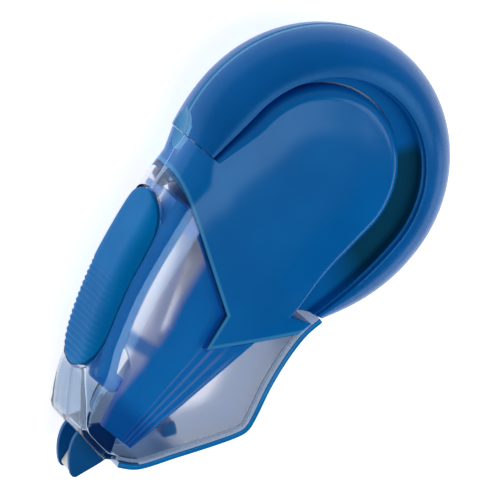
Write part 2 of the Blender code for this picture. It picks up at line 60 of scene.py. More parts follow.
# Raised side face: centre and radius of its round end. Walls of the shell, and the edge band's thickness.
FACE_X, FACE_Y, FACE_R = 65.0, 2.0, 15.0
WALL, CHIN_WALL, SKIN, BAND = 1.2, 0.6, 1.0, 1.0
EDGE_ROUND, FACE_ROUND, SPINE_ROUND = 0.6, 2.2, 5.0

# Grip pad: its two ends in x, how far it stands proud and its thickness. Then the tape's level and width.
PAD_FRONT, PAD_REAR = 14.6, 44.8
PAD_PROUD, PAD_THICK = 0.4, 1.7
TAPE_MID, TAPE_WIDTH = 9.9, 4.2

# Outlines of the chin, spine and front, the foot of the slant, and the corners of the blue head's edge.
CHIN = [(6.0, -5.1), (8.1, -8.6), (13.5, -12.6), (19.0, -16.6), (22.8, -19.1), (24.9, -19.8),
        (27.6, -19.3), (32.7, -17.8), (38.0, -16.8), (43.0, -16.5), (46.9, -17.2)]
SPINE = [(55.55, 22.5), (51.6, 21.4), (46.2, 20.5), (40.8, 19.5), (35.3, 18.4), (30.0, 17.1),
         (24.5, 15.2), (19.0, 12.8), (13.6, 9.7), (9.8, 6.9), (7.9, 5.4)]
FRONT = [(7.1, 4.7), (6.3, 3.4), (5.9, 0.6), (5.7, -2.2)]
SLANT_FOOT_X = 44.1
HEAD_EDGE = [(49.6, 20.4), (37.4, -2.1), (31.1, -3.2), (35.8, -7.8)]

# One place along a shell half's rim: where it is, how far its edge is rounded, its wall's thickness,
# how far it stands back for the band, its inward direction if it has its own, and its lowest level.
Station = namedtuple("Station", "x y round wall band way base")

# Material slots besides the first: inner skin, recess with painted shade or inner side with a painted glow,
# then light blue lines and painted highlights, then pale rim with a painted glow.
INSIDE, LINE_AND_HIGHLIGHT, RIM = 1, 2, 3


# ---------------------------------------------------------------- plane geometry

def place(x, y, z):
    """A point of the outline, in the frame."""
    return Vector((TIP_X + x * MM, y * MM, z * MM))


def spline(points, steps):
    """Catmull-Rom curve through the points, without its last point."""
    ends = [points[0]] + list(points) + [points[-1]]
    curve = []
    for i in range(1, len(ends) - 2):
        a, b, c, d = ends[i - 1:i + 3]
        for k in range(steps):
            t = k / steps
            curve.append(tuple(
                0.5 * (2 * b[j] + (c[j] - a[j]) * t + (2 * a[j] - 5 * b[j] + 4 * c[j] - d[j]) * t ** 2
                       + (3 * b[j] - a[j] - 3 * c[j] + d[j]) * t ** 3) for j in range(2)))
    return curve


def arc(cx, cy, radius, start, end, steps):
    """Points of an arc, from one angle to another in degrees."""
    points = []
    for k in range(steps + 1):
        angle = math.radians(start + (end - start) * k / steps)
        points.append((cx + radius * math.cos(angle), cy + radius * math.sin(angle)))
    return points


def normals(loop, closed=True):
    """Inward miter directions of a counter-clockwise loop."""
    count = len(loop)
    result = []
    for i in range(count):
        before = loop[i - 1] if closed or i else loop[i]
        after = loop[(i + 1) % count] if closed or i < count - 1 else loop[i]
        here = loop[i]
        n = []
        for p, q in ((before, here), (here, after)):
            length = math.hypot(q[0] - p[0], q[1] - p[1])
            if length > 1e-9:
                n.append((-(q[1] - p[1]) / length, (q[0] - p[0]) / length))
        if len(n) == 1:
            result.append(n[0])
            continue
        mx, my = n[0][0] + n[1][0], n[0][1] + n[1][1]
        scale = max(0.35, 0.5 * (mx * mx + my * my))
        result.append((mx / scale, my / scale))
    return result


def offset(loop, distance, closed=True):
    """The loop moved inwards."""
    return [(p[0] + n[0] * distance, p[1] + n[1] * distance)
            for p, n in zip(loop, normals(loop, closed))]


def smoothstep(low, high, value):
    t = min(1.0, max(0.0, (value - low) / (high - low)))
    return t * t * (3 - 2 * t)


def face_lower(x):
    """Lower edge of the raised side face at x."""
    return FACE_Y - FACE_R + 0.07 * (FACE_X - x)


def face_upper(x):
    """Upper edge of the raised side face at x."""
    return FACE_Y + FACE_R + 0.14 * (FACE_X - x)


# ---------------------------------------------------------------- meshes

def face_outwards(bm):
    bmesh.ops.recalc_face_normals(bm, faces=bm.faces)
    if bm.calc_volume(signed=True) < 0:
        bmesh.ops.reverse_faces(bm, faces=bm.faces)


def from_rings(rings):
    """Closed solid through rings of equal length."""
    bm = bmesh.new()
    rows = [[bm.verts.new(place(*p)) for p in ring] for ring in rings]
    count = len(rows[0])
    for lower, upper in zip(rows, rows[1:]):
        for i in range(count):
            j = (i + 1) % count
            bm.faces.new((lower[i], lower[j], upper[j], upper[i]))
    bm.faces.new(list(reversed(rows[0])))
    bm.faces.new(rows[-1])
    face_outwards(bm)
    return bm


def prism(loop, z0, z1):
    return from_rings([[(x, y, z) for x, y in loop] for z in (z0, z1)])


def mirror_z(bm):
    """Turn a front piece into its rear twin."""
    for vert in bm.verts:
        vert.co.z = THICKNESS * MM - vert.co.z
    face_outwards(bm)
    return bm


def add_object(name, bm, materials, angle=35.0):
    mesh = bpy.data.meshes.new(name)
    bm.to_mesh(mesh)
    bm.free()
    mesh.shade_smooth()
    mesh.set_sharp_from_angle(angle=math.radians(angle))
    obj = bpy.data.objects.new(name, mesh)
    bpy.context.scene.collection.objects.link(obj)
    for item in materials:
        mesh.materials.append(item)
    return obj


def apply_modifiers(obj, angle=35.0):
    """Bake the modifiers into the mesh."""
    graph = bpy.context.evaluated_depsgraph_get()
    mesh = bpy.data.meshes.new_from_object(obj.evaluated_get(graph))
    obj.modifiers.clear()
    obj.data = mesh
    mesh.shade_smooth()
    mesh.set_sharp_from_angle(angle=math.radians(angle))


def cut(obj, cutters, operation="DIFFERENCE", angle=35.0):
    """Boolean with each cutter mesh, baked at once."""
    tools = []
    for bm in cutters:
        tool = add_object("tool", bm, [])
        tools.append(tool)
        mod = obj.modifiers.new("cut", "BOOLEAN")
        mod.operation = operation
        mod.solver = "EXACT"
        mod.object = tool
    apply_modifiers(obj, angle)
    for tool in tools:
        bpy.data.objects.remove(tool, do_unlink=True)


def bevel(obj, width, segments, angle=40.0):
    mod = obj.modifiers.new("edge", "BEVEL")
    mod.width = width * MM
    mod.segments = segments
    mod.limit_method = "ANGLE"
    mod.angle_limit = math.radians(angle)
    apply_modifiers(obj)


# ---------------------------------------------------------------- materials

def new_material(name):
    mat = bpy.data.materials.new(name)
    mat.use_nodes = True
    return mat, mat.node_tree, mat.node_tree.nodes["Principled BSDF"]


def noise(tree, scale, detail=3.0):
    where = tree.nodes.new("ShaderNodeTexCoord")
    node = tree.nodes.new("ShaderNodeTexNoise")
    node.inputs["Scale"].default_value = scale
    node.inputs["Detail"].default_value = detail
    tree.links.new(where.outputs["Object"], node.inputs["Vector"])
    return node.outputs["Fac"]


def ramp(tree, source, stops):
    """Colour ramp; stops are (position, colour)."""
    node = tree.nodes.new("ShaderNodeValToRGB")
    items = node.color_ramp.elements
    while len(items) < len(stops):
        items.new(0.5)
    for item, (position, colour) in zip(items, stops):
        item.position = position
        item.color = (*colour, 1.0)
    tree.links.new(source, node.inputs["Fac"])
    return node.outputs["Color"]


def spread(tree, source, low, high):
    """Map a 0 to 1 value onto a range."""
    node = tree.nodes.new("ShaderNodeMapRange")
    node.inputs["To Min"].default_value = low
    node.inputs["To Max"].default_value = high
    tree.links.new(source, node.inputs["Value"])
    return node.outputs["Result"]


def add_bump(tree, shader, height, distance, strength):
    node = tree.nodes.new("ShaderNodeBump")
    node.inputs["Distance"].default_value = distance
    node.inputs["Strength"].default_value = strength
    tree.links.new(height, node.inputs["Height"])
    tree.links.new(node.outputs["Normal"], shader.inputs["Normal"])


def plastic(name, dark, light, rough, grain=0.00002, scale=700.0, shine=0.5, glint=(1.0, 1.0, 1.0),
            glow=0.0):
    """Moulded plastic with a slight cloudiness and a fine moulding texture; glow makes it give off a faint
    light of its lighter tone, a painted glow.
    """
    mat, tree, shader = new_material(name)
    cloud = noise(tree, 90.0, 2.0)
    tree.links.new(ramp(tree, cloud, [(0.3, dark), (0.7, light)]), shader.inputs["Base Color"])
    tree.links.new(spread(tree, noise(tree, 300.0), rough * 0.8, rough * 1.25), shader.inputs["Roughness"])
    add_bump(tree, shader, noise(tree, scale, 2.0), grain, 0.5)
    shader.inputs["Specular IOR Level"].default_value = shine
    shader.inputs["Specular Tint"].default_value = (*glint, 1.0)
    # A glow above 0 is painted light: the plastic shines in its lighter tone.
    shader.inputs["Emission Color"].default_value = (*light, 1.0)
    shader.inputs["Emission Strength"].default_value = glow
    return mat


def math_node(tree, operation, first, second, third=0.0):
    """Math on values that may be sockets or plain numbers."""
    node = tree.nodes.new("ShaderNodeMath")
    node.operation = operation
    for socket, value in zip(node.inputs, (first, second, third)):
        if isinstance(value, float):
            socket.default_value = value
        else:
            tree.links.new(value, socket)
    return node.outputs["Value"]


def beyond_line(tree, start, end, origin):
    """Distance to the left of the line from start to end, in plan; origin is the part's own."""
    p0, p1 = place(*start, 0), place(*end, 0)
    along = (p1 - p0).normalized()
    left = Vector((-along.y, along.x, 0.0))
    where = tree.nodes.new("ShaderNodeTexCoord")
    dot = tree.nodes.new("ShaderNodeVectorMath")
    dot.operation = "DOT_PRODUCT"
    dot.inputs[1].default_value = left
    tree.links.new(where.outputs["Object"], dot.inputs[0])
    return math_node(tree, "SUBTRACT", dot.outputs["Value"], left.dot(p0) - left.dot(origin))


def soft_step(tree, source, low, high):
    """Soft step from 0 at low to 1 at high, both in millimetres."""
    node = tree.nodes.new("ShaderNodeMapRange")
    node.interpolation_type = "SMOOTHSTEP"
    node.inputs["From Min"].default_value = low * MM
    node.inputs["From Max"].default_value = high * MM
    tree.links.new(source, node.inputs["Value"])
    return node.outputs["Result"]


def mix_colour(tree, share, first, second):
    """Colour that goes from first to second, which may be sockets or plain colours."""
    node = tree.nodes.new("ShaderNodeMix")
    node.data_type = "RGBA"
    tree.links.new(share, node.inputs[0])
    for socket, colour in ((node.inputs[6], first), (node.inputs[7], second)):
        if isinstance(colour, tuple):
            socket.default_value = (*colour, 1.0)
        else:
            tree.links.new(colour, socket)
    return node.outputs[2]


def inside_head(tree, origin):
    """Distance inside the edge of the blue head; the edge is a chevron that points at the tip."""
    spine_side, tongue_top, tongue_low = (
        beyond_line(tree, start, end, origin) for start, end in zip(HEAD_EDGE, HEAD_EDGE[1:]))
    either = math_node(tree, "MAXIMUM", spine_side, tongue_top)
    return math_node(tree, "MINIMUM", either, tongue_low)


def two_tone(name, tint, smooth, rough, frosted=0.0, origin=Vector()):
    """Styrene that is clear towards the tip and solid blue over the head, with faint flow waves and a painted
    highlight line along the head's edge.

    Frosted roughens the clear part on the chin side of the wedge.
    """
    mat, tree, shader = new_material(name)
    inside = inside_head(tree, origin)
    head = soft_step(tree, inside, -0.3, -0.2)
    # Painted highlight: a lighter blue line along the blue head's edge.
    line = soft_step(tree, math_node(tree, "ABSOLUTE", inside, 0.0), 0.5, 0.1)
    blue = ramp(tree, noise(tree, 80.0, 2.0), [(0.3, HEAD_BLUE[0]), (0.7, HEAD_BLUE[1])])
    clear = ramp(tree, noise(tree, 60.0, 2.0), [(0.3, tuple(c * 0.97 for c in tint)), (0.7, tint)])
    nose = soft_step(tree, beyond_line(tree, (17.0, -5.0), (17.0, 5.0), origin), 0.0, 4.0)
    colour = mix_colour(tree, soft_step(tree, inside, -0.4, -0.3), mix_colour(tree, nose, clear, LILAC),
                        mix_colour(tree, line, blue, EDGE_PAINTED_HIGHLIGHT))
    tree.links.new(colour, shader.inputs["Base Color"])
    tree.links.new(spread(tree, head, 1.0, 0.0), shader.inputs["Transmission Weight"])
    chin = soft_step(tree, beyond_line(tree, (36.0, -10.6), (9.9, -5.6), origin), -1.4, -0.8)
    waves = math_node(tree, "MULTIPLY_ADD", chin, frosted, spread(tree, noise(tree, 200.0), smooth, rough))
    even = tree.nodes.new("ShaderNodeMix")
    even.data_type = "FLOAT"
    even.inputs["B"].default_value = 0.18
    tree.links.new(head, even.inputs["Factor"])
    tree.links.new(waves, even.inputs["A"])
    tree.links.new(even.outputs["Result"], shader.inputs["Roughness"])
    shader.inputs["IOR"].default_value = 1.49
    shader.inputs["Specular IOR Level"].default_value = 0.4
    shader.inputs["Specular Tint"].default_value = (0.5, 0.78, 1.0, 1.0)
    add_bump(tree, shader, noise(tree, 45.0, 1.0), 0.00003, 0.4)
    return mat


def window_plastic(name, tint, dark, light):
    """Blue plastic that turns to frosted clear where the mesh's "clear" value rises to 1; it also glows
    faintly in its own colour, a painted glow.
    """
    mat, tree, shader = new_material(name)
    clear = tree.nodes.new("ShaderNodeAttribute")
    clear.attribute_name = "clear"
    blue = ramp(tree, noise(tree, 80.0, 2.0), [(0.3, dark), (0.7, light)])
    colour = mix_colour(tree, clear.outputs["Fac"], blue, tint)
    tree.links.new(colour, shader.inputs["Base Color"])
    tree.links.new(clear.outputs["Fac"], shader.inputs["Transmission Weight"])
    # Painted glow: a faint light of the plastic's own colour.
    tree.links.new(colour, shader.inputs["Emission Color"])
    shader.inputs["Emission Strength"].default_value = 0.07
    tree.links.new(spread(tree, noise(tree, 200.0), 0.42, 0.52), shader.inputs["Roughness"])
    shader.inputs["IOR"].default_value = 1.3
    shader.inputs["Specular IOR Level"].default_value = 0.2
    add_bump(tree, shader, noise(tree, 700.0, 2.0), 0.00002, 0.5)
    return mat


def recess_plastic(name, lit, shaded, rough):
    """Blue of the crescent recess with painted shade: darker towards the tip side, over the wound tape, as if
    that part lay in shadow.
    """
    mat, tree, shader = new_material(name)
    where = tree.nodes.new("ShaderNodeTexCoord")
    parts = tree.nodes.new("ShaderNodeSeparateXYZ")
    tree.links.new(where.outputs["Object"], parts.inputs["Vector"])
    along = math_node(tree, "SUBTRACT", parts.outputs["X"], place(HEAD_X, 0, 0).x)
    turn = math_node(tree, "ARCTAN2", parts.outputs["Y"], along)
    share = tree.nodes.new("ShaderNodeMapRange")
    share.inputs["From Min"].default_value = math.radians(-180)
    share.inputs["From Max"].default_value = math.radians(180)
    tree.links.new(turn, share.inputs["Value"])
    # Painted shade: the blue turns dark from -110 to -34 degrees round the head, and lightens again towards
    # the leg's end.
    low, foot, edge = ((180 + degree) / 360 for degree in (-134, -110, -34))
    colour = ramp(tree, share.outputs["Result"], [(low, lit), (foot, shaded), (edge - 0.012, shaded),
                                                  (edge + 0.012, lit)])
    tree.links.new(colour, shader.inputs["Base Color"])
    tree.links.new(spread(tree, noise(tree, 300.0), rough * 0.8, rough * 1.25), shader.inputs["Roughness"])
    add_bump(tree, shader, noise(tree, 700.0, 2.0), 0.00002, 0.5)
    shader.inputs["Specular IOR Level"].default_value = 0.15
    shader.inputs["Specular Tint"].default_value = (*GLINT, 1.0)
    return mat


# Colours that several materials use, then the materials themselves: name, darker and lighter tone, roughness.
HEAD_BLUE = ((0.0, 0.16, 0.54), (0.0, 0.19, 0.61))
# Lighter blue of the painted highlight along the head's edge.
EDGE_PAINTED_HIGHLIGHT = (0.05, 0.32, 0.70)
LILAC = (0.52, 0.63, 0.78)
PALE = (0.88, 0.91, 1.0)
GLINT = (0.25, 0.65, 1.0)
BLUE_RING = plastic("ring_blue_gloss", (0.0, 0.125, 0.45), (0.0, 0.145, 0.52), 0.26, shine=0.45, glint=GLINT)
# Recess blue with painted shade on its tip side.
BLUE_RECESS_SHADED = recess_plastic("ring_blue_recess_painted_shade", (0.0, 0.18, 0.58), (0.0, 0.07, 0.15), 0.3)
BLUE_FACE = plastic("cartridge_blue_satin", (0.0, 0.24, 0.80), (0.0, 0.28, 0.88), 0.4, shine=0.3, glint=GLINT)
BLUE_BAND = plastic("band_blue_gloss", (0.0, 0.20, 0.62), (0.0, 0.24, 0.70), 0.25, glint=GLINT)
# Pale inner side of the band, with a painted glow.
BAND_INSIDE_GLOW = plastic("band_inside_pale_glow", (0.56, 0.72, 0.92), (0.62, 0.76, 0.98), 0.5, glow=0.3)
# The rail glows faintly: painted light.
BLUE_RAIL = plastic("rail_blue_satin", (0.0, 0.26, 0.92), (0.0, 0.30, 0.98), 0.35, glint=GLINT, glow=0.06)
# Lighter blue: painted highlights on the seam and the notch, and the line on the shell's chin edge.
BLUE_LINE_AND_HIGHLIGHT = plastic("blue_line_and_painted_highlight", (0.06, 0.32, 0.66), (0.10, 0.38, 0.74), 0.3, glint=GLINT)
BLUE_TIP = plastic("tip_blue_satin", (0.0, 0.09, 0.32), (0.0, 0.12, 0.40), 0.4, shine=0.3, glint=GLINT)
RUBBER = plastic("grip_rubber_blue", (0.0, 0.17, 0.50), (0.0, 0.20, 0.56), 0.5, 0.00004, 1400.0, 0.15,
                 (0.05, 0.5, 1.0))
CLEAR = two_tone("clear_styrene", (0.95, 0.96, 1.0), 0.02, 0.05)
GLAZED = two_tone("clear_styrene_inside", (0.95, 0.96, 1.0), 0.05, 0.09, 0.22)
FROSTED = two_tone("clear_styrene_frosted", (0.92, 0.93, 1.0), 0.12, 0.18)
REFILL_BASE = two_tone("refill_base", (0.93, 0.95, 1.0), 0.06, 0.10,
                       origin=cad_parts["cartridge_base"].matrix_world.translation)
WINDOW = window_plastic("refill_window", PALE, (0.0, 0.29, 0.92), (0.0, 0.34, 0.98))
WHITE = plastic("spool_white_acetal", (0.80, 0.81, 0.83), (0.86, 0.87, 0.88), 0.35)
FELT = plastic("clutch_grey_felt", (0.16, 0.17, 0.19), (0.22, 0.23, 0.25), 0.8, 0.0001, 2600.0)
TAPE = plastic("tape_white_matt", (0.84, 0.84, 0.82), (0.90, 0.90, 0.88), 0.6, 0.00002, 1800.0)


# ---------------------------------------------------------------- clear shell halves

# Middle line of the side face, which the rim's stations are lofted towards.
AXIS_CURVE = [(13.0, -3.0), (24.0, -1.5), (40.0, 1.0), (56.0, 2.0), (65.0, 2.0)]


def face_sag(distance):
    """How far the side face falls away towards its edge."""
    return 0.4 * (1.0 - smoothstep(0.0, 8.0, distance)) ** 1.3


def station_sag(s, distance):
    """Fall of the side face at a distance from a station's rim; it levels out at the two butt joints."""
    start = s.round * 0.6
    if s.y > 18.0 and s.x > 44.0:
        start = 0.5 + (start - 0.5) * smoothstep(0.0, 9.0, 55.6 - s.x)
    depth = smoothstep(44.0, 52.0, s.x) if -14.0 < s.y < -8.0 and s.x >= 44.0 else 1.0
    return depth * face_sag(start + distance)


def shell_stations():
    """Rim of a shell half: chin, slant, round face, butt joint with the ring, spine and front."""
    stations = []
    seam = MID + SEAM
    for x, y in spline(CHIN, 6):
        if x < CHIN[-2][0] + 0.5:
            stations.append(Station(x, y, EDGE_ROUND, CHIN_WALL, BAND + GAP, None, seam))
    stations.append(Station(*CHIN[-1], EDGE_ROUND, CHIN_WALL, BAND + 1.6 * GAP, (-1.1, 1.0), seam))
    stations.append(Station(SLANT_FOOT_X, face_lower(SLANT_FOOT_X), EDGE_ROUND, WALL, 0.0, None, seam))
    for k in range(1, 12):
        x = SLANT_FOOT_X + (FACE_X - SLANT_FOOT_X) * k / 12
        edge = EDGE_ROUND + (FACE_ROUND - EDGE_ROUND) * smoothstep(44, 56, x)
        base = seam + (FLOOR_UNDER - seam) * smoothstep(48.0, 50.0, x)
        stations.append(Station(x, face_lower(x), edge, WALL, 0.0, None, base))
    for x, y in arc(FACE_X, FACE_Y, FACE_R, -90, 90, 60):
        stations.append(Station(x, y, FACE_ROUND, WALL, 0.0, None, FLOOR_UNDER))
    end_x = SPINE[0][0]
    for k in range(1, 6):
        x = FACE_X + (end_x - FACE_X) * k / 6
        edge = FACE_ROUND - 1.2 * smoothstep(0, 6, k)
        stations.append(Station(x, face_upper(x), edge, WALL, 0.0, None, FLOOR_UNDER))
    stations.append(Station(end_x, face_upper(end_x), 0.8, WALL, 0.0, (-1.0, -1.0), FLOOR_UNDER))
    upper_y = face_upper(end_x) * 0.4 + SPINE[0][1] * 0.6
    stations.append(Station(end_x, upper_y, 3.3, 2.6, 0.0, (-1.0, -1.0), seam))
    stations.append(Station(*SPINE[0], 5.0, 3.0, 0.0, (-1.0, -1.0), seam))
    for x, y in spline(SPINE, 8)[8:] + [SPINE[-1]]:
        edge = 1.6 + (SPINE_ROUND - 1.6) * smoothstep(8, 17, x) + 1.4 * smoothstep(45, 53, x)
        wall = WALL + 1.9 * smoothstep(47, 53, x)
        stations.append(Station(x, y, edge, wall, 0.0, None, seam))
    for x, y in spline(FRONT, 3) + [FRONT[-1]]:
        stations.append(Station(x, y, 0.8, WALL, 0.0, None, seam))
    return stations


def axis_shares(stations):
    """How far along the face's middle line each station looks, running up and then back down.

    Stations near the two butt joints look back towards the tip, so that their lines don't cross.
    """
    tip, head = 6.0, 72.0
    looks = []
    for s in stations:
        back = 14.0 * smoothstep(25.0, 47.0, s.x) if s.y < -14.0 else 0.0
        if -14.0 <= s.y < -8.0:
            back += 3.0 * (1.0 - smoothstep(44.0, 54.0, s.x)) * smoothstep(40.0, 44.0, s.x)
        back += 6.0 * smoothstep(30.0, 55.0, s.x) if s.y > 18.6 and s.x < 57.0 else 0.0
        looks.append(s.x - back)
    shares = [min(1.0, max(0.0, (x - tip) / (head - tip))) for x in looks]
    turn = max(range(len(stations)), key=lambda i: stations[i].x)
    for i in range(1, turn):
        shares[i] = max(shares[i], shares[i - 1])
    for i in range(turn + 1, len(shares)):
        shares[i] = min(shares[i], shares[i - 1])
    return shares


def axis_point(share):
    """Point of the side face's middle line."""
    fine = spline(AXIS_CURVE, 10) + [AXIS_CURVE[-1]]
    at = share * (len(fine) - 1)
    i = min(len(fine) - 2, int(at))
    t = at - i
    return (fine[i][0] * (1 - t) + fine[i + 1][0] * t, fine[i][1] * (1 - t) + fine[i + 1][1] * t)


def shell_skin(stations, inner, edge_steps=8, loft_steps=9):
    """Rings of the shell's outer or inner skin, from its rim up to near the middle line."""
    loop = [(s.x, s.y) for s in stations]
    inward = [s.way or n for s, n in zip(stations, normals(loop))]
    top = THICKNESS - (SKIN if inner else 0.0)
    rings = [[] for _ in range(edge_steps + 2 + loft_steps)]
    for s, (nx, ny), share in zip(stations, inward, axis_shares(stations)):
        step = s.wall if inner else 0.0
        depth = s.band + step
        edge = max(0.3, s.round - step) if inner else s.round
        x, y = s.x + nx * depth, s.y + ny * depth
        rings[0].append((x, y, s.base))
        sag = station_sag(s, 0.0)
        for k in range(edge_steps + 1):
            angle = math.radians(90 * k / edge_steps)
            move = edge * (1 - math.cos(angle))
            along = 0.0 if s.way else nx * move
            px, py = x + along, y + ny * move
            rings[k + 1].append((px, py, top - sag - edge * (1 - math.sin(angle))))
        ax, ay = axis_point(share)
        span = math.hypot(ax - px, ay - py)
        for k in range(1, loft_steps + 1):
            t = 0.86 * (k / loft_steps) ** 1.3
            qx, qy = px + (ax - px) * t, py + (ay - py) * t
            rings[edge_steps + 1 + k].append((qx, qy, top - station_sag(s, span * t)))
    return rings


def shell_half(name, rear):
    """Clear half with an outer and an inner skin; its seam faces are pale with a painted glow and its chin's
    inner edge blue.
    """
    stations = shell_stations()
    outer = shell_skin(stations, False)
    inner = shell_skin(stations, True)
    bm = from_rings(list(reversed(outer)) + inner)
    bm.verts.index_update()
    if rear:
        bm = mirror_z(bm)
    bm.faces.ensure_lookup_table()
    half = len(outer) * len(stations)
    for face in bm.faces:
        corners = [vert.index for vert in face.verts]
        if min(corners) >= half:
            face.material_index = INSIDE
            spot = face.calc_center_median()
            rounding = 0.25 < abs(face.normal.z) < 0.93
            if rounding and spot.y < place(0, -9.0, 0).y and spot.x > place(24.0, 0, 0).x:
                face.material_index = LINE_AND_HIGHLIGHT
        # Seam faces: pale, with a painted glow.
        elif max(corners) >= half and len(corners) == 4:
            face.material_index = RIM
    return add_object(name, bm, [CLEAR, FROSTED if rear else GLAZED, BLUE_LINE_AND_HIGHLIGHT, BAND_INSIDE_GLOW], 40.0)


shell_front = shell_half("shell_front", False)
shell_rear = shell_half("shell_rear", True)


# ---------------------------------------------------------------- ring halves

def ring_lines(step):
    """Outer, inner and floor edge of the horseshoe ring, station by station."""
    lines = []
    legs = 16
    for k in range(legs):
        t = 1 - k / legs
        degree = -90 - RING_LEG * t
        radius = HEAD_R + 0.5 * t
        outer = (HEAD_X + radius * math.cos(math.radians(degree)),
                 radius * math.sin(math.radians(degree)))
        inner_x = HEAD_X - 17.9 * t
        inner = (inner_x, -RING_INNER_R + 0.0085 * (HEAD_X - inner_x) ** 2)
        floor_x = FACE_X - t * 20.2
        lines.append((outer, inner, (floor_x, face_lower(floor_x) - GAP)))
    for k in range(0, 180 // step + 1):
        degree = -90 + k * step
        c, s = math.cos(math.radians(degree)), math.sin(math.radians(degree))
        lines.append(((HEAD_X + HEAD_R * c, HEAD_R * s),
                      (HEAD_X + RING_INNER_R * c, RING_INNER_R * s),
                      (FACE_X + (FACE_R + GAP) * c, FACE_Y + (FACE_R + GAP) * s)))
    for k in range(1, 11):
        x = HEAD_X - (HEAD_X - SPINE[0][0] - 0.1) * k / 10
        outer = (x, math.sqrt(HEAD_R ** 2 - (x - HEAD_X) ** 2))
        inner = (x, RING_INNER_R + 0.10 * (HEAD_X - x))
        lines.append((outer, inner, (x, min(inner[1] - 0.1, face_upper(x) + GAP))))
    return lines


def ring_section(outer, inner, floor):
    """Closed section of the front ring half: crown, ledge and step down to the recess, then the inside."""
    width = math.hypot(outer[0] - inner[0], outer[1] - inner[1])
    rx, ry = (outer[0] - inner[0]) / width, (outer[1] - inner[1]) / width
    base = MID + SEAM
    crest = THICKNESS - RING_CREST
    height = crest - base
    section = [(inner[0] + rx * (width - 0.25), inner[1] + ry * (width - 0.25), base)]
    for k in range(25):
        angle = math.radians(2.5 + 87.5 * k / 24)
        u = width * math.cos(angle)
        section.append((inner[0] + rx * u, inner[1] + ry * u, base + height * math.sin(angle)))
    room = math.hypot(floor[0] - inner[0], floor[1] - inner[1])
    fx, fy = (floor[0] - inner[0]) / room, (floor[1] - inner[1]) / room
    ledge = min(0.62, 0.35 * room)
    for away, z in ((0.10, crest - 0.03), (0.18, crest - 0.14), (0.22, crest - 0.45),
                    (0.30, crest - 0.62), (0.45, crest - 0.68), (0.90, crest - 0.74),
                    (1.00, crest - 0.80), (1.06, crest - 0.95), (1.18, FLOOR_TOP + 0.45),
                    (1.30, FLOOR_TOP + 0.16), (1.60, FLOOR_TOP)):
        section.append((inner[0] + fx * ledge * away, inner[1] + fy * ledge * away, z))
    section.append((*floor, FLOOR_TOP))
    section.append((*floor, FLOOR_UNDER - 0.3))
    section.append((inner[0] + rx * 0.2, inner[1] + ry * 0.2, FLOOR_UNDER - 0.3))
    reach = max(0.5, width - 2.0)
    for degree in (58, 38, 19, 0):
        angle = math.radians(degree)
        u = reach * math.cos(angle)
        section.append((inner[0] + rx * u, inner[1] + ry * u, base + (height - 1.3) * math.sin(angle)))
    return section


# First and last point of a section that bound the recess.
RECESS_FROM, RECESS_TO = 33, 39

# Thumb notch where the ring, the shell and the grip meet.
NOTCH = place(53.9, 27.9, MID)
NOTCH_R = 6.3 * MM


def notch_ball():
    """Ball that cuts the thumb notch."""
    bm = bmesh.new()
    bmesh.ops.create_icosphere(bm, subdivisions=5, radius=NOTCH_R)
    bmesh.ops.translate(bm, verts=bm.verts, vec=NOTCH)
    return bm


def highlight_notch(obj):
    """Give the notch's own faces the lighter blue of the part's lines, as a painted highlight."""
    for polygon in obj.data.polygons:
        if abs((polygon.center - NOTCH).length - NOTCH_R) < 0.04 * MM:
            polygon.material_index = LINE_AND_HIGHLIGHT


def ring_half(name, rear):
    """Half of the ring, with painted shade in the recess and a painted highlight line along the seam."""
    sections = [ring_section(*line) for line in ring_lines(3)]
    bm = from_rings(sections)
    bm.verts.index_update()
    count = len(sections[0])
    for face in bm.faces:
        spots = [vert.index % count for vert in face.verts]
        if len(spots) == 4 and min(spots) >= RECESS_FROM and max(spots) <= RECESS_TO:
            face.material_index = INSIDE
        # Painted highlight: the seam's chamfer faces take the lighter blue.
        if len(spots) == 4 and sorted(set(spots)) == ([0, 1] if rear else [1, 2]):
            face.material_index = LINE_AND_HIGHLIGHT
    if rear:
        bm = mirror_z(bm)
    obj = add_object(name, bm, [BLUE_RING, BLUE_RECESS_SHADED, BLUE_LINE_AND_HIGHLIGHT], 30.0)
    cut(obj, [notch_ball()], angle=30.0)
    highlight_notch(obj)
    return obj


ring_front = ring_half("ring_front", False)
ring_rear = ring_half("ring_rear", True)


# ---------------------------------------------------------------- grip and rail

def spine_frame(x):
    """Point on the spine and its outward normal, by x."""
    fine = spline(SPINE, 12) + [SPINE[-1]]
    for (x1, y1), (x0, y0) in zip(fine, fine[1:]):
        if x0 <= x <= x1:
            t = (x - x0) / (x1 - x0)
            length = math.hypot(x1 - x0, y1 - y0)
            return x, y0 + t * (y1 - y0), -(y1 - y0) / length, (x1 - x0) / length
    return x, fine[-1][1], 0.0, 1.0


def pad_section(x, spread_share, lift, count, profile=None):
    """Points across the spine at x; profile changes the lift across the width."""
    px, py, nx, ny = spine_frame(x)
    flat = MID - SPINE_ROUND
    reach = flat + SPINE_ROUND * math.radians(48)
    points = []
    for k in range(count + 1):
        share = -1 + 2 * k / count
        s = share * spread_share * reach
        side = math.copysign(1.0, s)
        height = lift if profile is None else lift + profile(share)
        radius = SPINE_ROUND + height
        if abs(s) <= flat:
            away, z = height, MID + s
        else:
            angle = (abs(s) - flat) / SPINE_ROUND
            away = radius * math.cos(angle) - SPINE_ROUND
            z = MID + side * (flat + radius * math.sin(angle))
        points.append((px + nx * away, py + ny * away, z))
    return points


